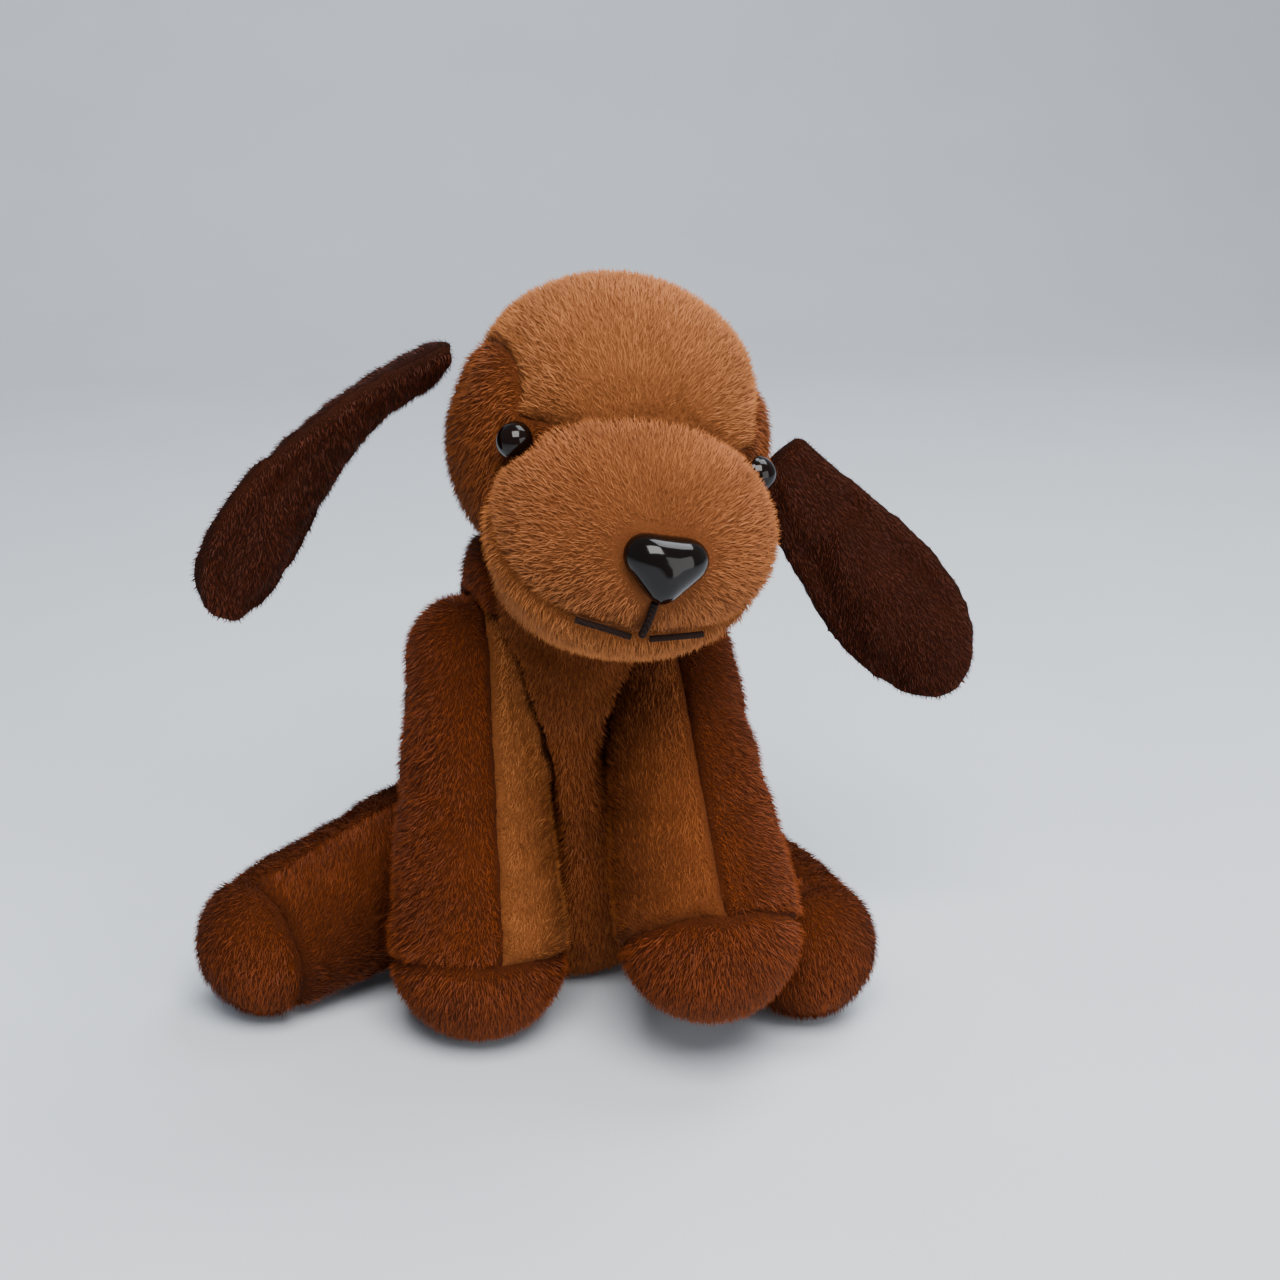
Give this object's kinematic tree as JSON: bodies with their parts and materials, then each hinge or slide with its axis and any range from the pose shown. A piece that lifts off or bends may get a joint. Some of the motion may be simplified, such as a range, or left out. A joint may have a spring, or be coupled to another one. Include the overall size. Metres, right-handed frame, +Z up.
{
  "type": "plush dog",
  "caption": "Sitting stuffed puppy toy in short brown pile, with floppy ears, a wide muzzle, glossy eyes and nose, and limbs that bend at sewn joints.",
  "frame": {"origin": "middle of the flat under the seat, level with the ground", "axes": "+Z up, the dog faces -Y, +X to its own left"},
  "size_m": [0.1473, 0.1233, 0.133],
  "materials": {
    "brown_plush": "short pile, dark brown",
    "light_plush": "short pile, mid brown",
    "ear_plush": "short pile, darkest brown",
    "ear_lining_plush": "short pile, darkest brown",
    "fibre_filling": "loose polyester fibre",
    "pouch_cloth": "thin woven liner",
    "pellets": "translucent white beads",
    "eyes": "moulded, black-brown",
    "nose": "moulded, black",
    "washers": "natural nylon",
    "dark_thread": "twisted embroidery thread",
    "brown_thread": "sewing thread"
  },
  "bodies": {
    "torso": {"torso_side_left": "brown_plush", "torso_side_right": "brown_plush", "belly_panel": "brown_plush", "torso_stuffing": "fibre_filling", "chest_stuffing": "fibre_filling", "pellet_pouch": "pouch_cloth", "pellets": "pellets", "back_closing_stitches": "brown_thread"},
    "neck": {"neck_stuffing": "fibre_filling"},
    "head": {"forehead_panel": "light_plush", "head_side_left": "brown_plush", "head_side_right": "brown_plush", "muzzle_panel": "light_plush", "chin_panel": "light_plush", "head_stuffing": "fibre_filling", "eye_left": "eyes", "eye_right": "eyes", "eye_washer_left": "washers", "eye_washer_right": "washers", "nose": "nose", "nose_washer": "washers", "philtrum_stitch": "dark_thread", "mouth_stitches": "dark_thread"},
    "ear_left": {"ear_left_front": "ear_lining_plush", "ear_left_back": "ear_plush"},
    "ear_right": {"ear_right_front": "ear_lining_plush", "ear_right_back": "ear_plush"},
    "foreleg_left": {"foreleg_left_outer": "brown_plush", "foreleg_left_inner": "brown_plush", "foreleg_left_sole": "brown_plush", "foreleg_left_stuffing": "fibre_filling"},
    "foreleg_right": {"foreleg_right_outer": "brown_plush", "foreleg_right_inner": "brown_plush", "foreleg_right_sole": "brown_plush", "foreleg_right_stuffing": "fibre_filling"},
    "hindleg_left": {"hindleg_left_outer": "brown_plush", "hindleg_left_inner": "brown_plush", "hindleg_left_sole": "brown_plush", "hindleg_left_stuffing": "fibre_filling"},
    "hindleg_right": {"hindleg_right_outer": "brown_plush", "hindleg_right_inner": "brown_plush", "hindleg_right_sole": "brown_plush", "hindleg_right_stuffing": "fibre_filling"},
    "tail": {"tail_left": "brown_plush", "tail_right": "brown_plush", "tail_stuffing": "fibre_filling"}
  },
  "joints": [
    {"name": "head_turn", "type": "hinge", "parent": "torso", "child": "neck", "pos_m": [0, -0.015, 0.077], "axis": [0, 0, 1], "range_deg": [-20, 20], "stiffness_Nm_per_rad": 0.12},
    {"name": "head_nod", "type": "hinge", "parent": "neck", "child": "head", "pos_m": [0, -0.015, 0.077], "axis": [1, 0, 0], "range_deg": [-8, 3], "stiffness_Nm_per_rad": 0.2},
    {"name": "ear_left_flap", "type": "hinge", "parent": "head", "child": "ear_left", "pos_m": [0.03561, -0.01586, 0.09944], "axis": [0.7065, -0.0986, 0.7008], "range_deg": [-35, 25], "stiffness_Nm_per_rad": 0.03},
    {"name": "ear_right_flap", "type": "hinge", "parent": "head", "child": "ear_right", "pos_m": [-0.02117, -0.02074, 0.1207], "axis": [0.1541, -0.8079, 0.5689], "range_deg": [-15, 30], "stiffness_Nm_per_rad": 0.03},
    {"name": "foreleg_left_swing", "type": "hinge", "parent": "torso", "child": "foreleg_left", "pos_m": [0.0175, -0.017, 0.06547], "axis": [-0.8575, -0.5145, 0], "range_deg": [0, 8], "stiffness_Nm_per_rad": 0.08},
    {"name": "foreleg_right_swing", "type": "hinge", "parent": "torso", "child": "foreleg_right", "pos_m": [-0.0175, -0.017, 0.06547], "axis": [-0.8575, 0.5145, 0], "range_deg": [0, 15], "stiffness_Nm_per_rad": 0.08},
    {"name": "hindleg_left_splay", "type": "hinge", "parent": "torso", "child": "hindleg_left", "pos_m": [0.02, 0.001, 0.0195], "axis": [0, 0, 1], "range_deg": [0, 20], "stiffness_Nm_per_rad": 0.06},
    {"name": "hindleg_right_splay", "type": "hinge", "parent": "torso", "child": "hindleg_right", "pos_m": [-0.02, 0.001, 0.0195], "axis": [0, 0, -1], "range_deg": [0, 20], "stiffness_Nm_per_rad": 0.06},
    {"name": "tail_wag", "type": "hinge", "parent": "torso", "child": "tail", "pos_m": [0, 0.026, 0.017], "axis": [0, 0, 1], "range_deg": [-20, 20], "stiffness_Nm_per_rad": 0.01}
  ]
}
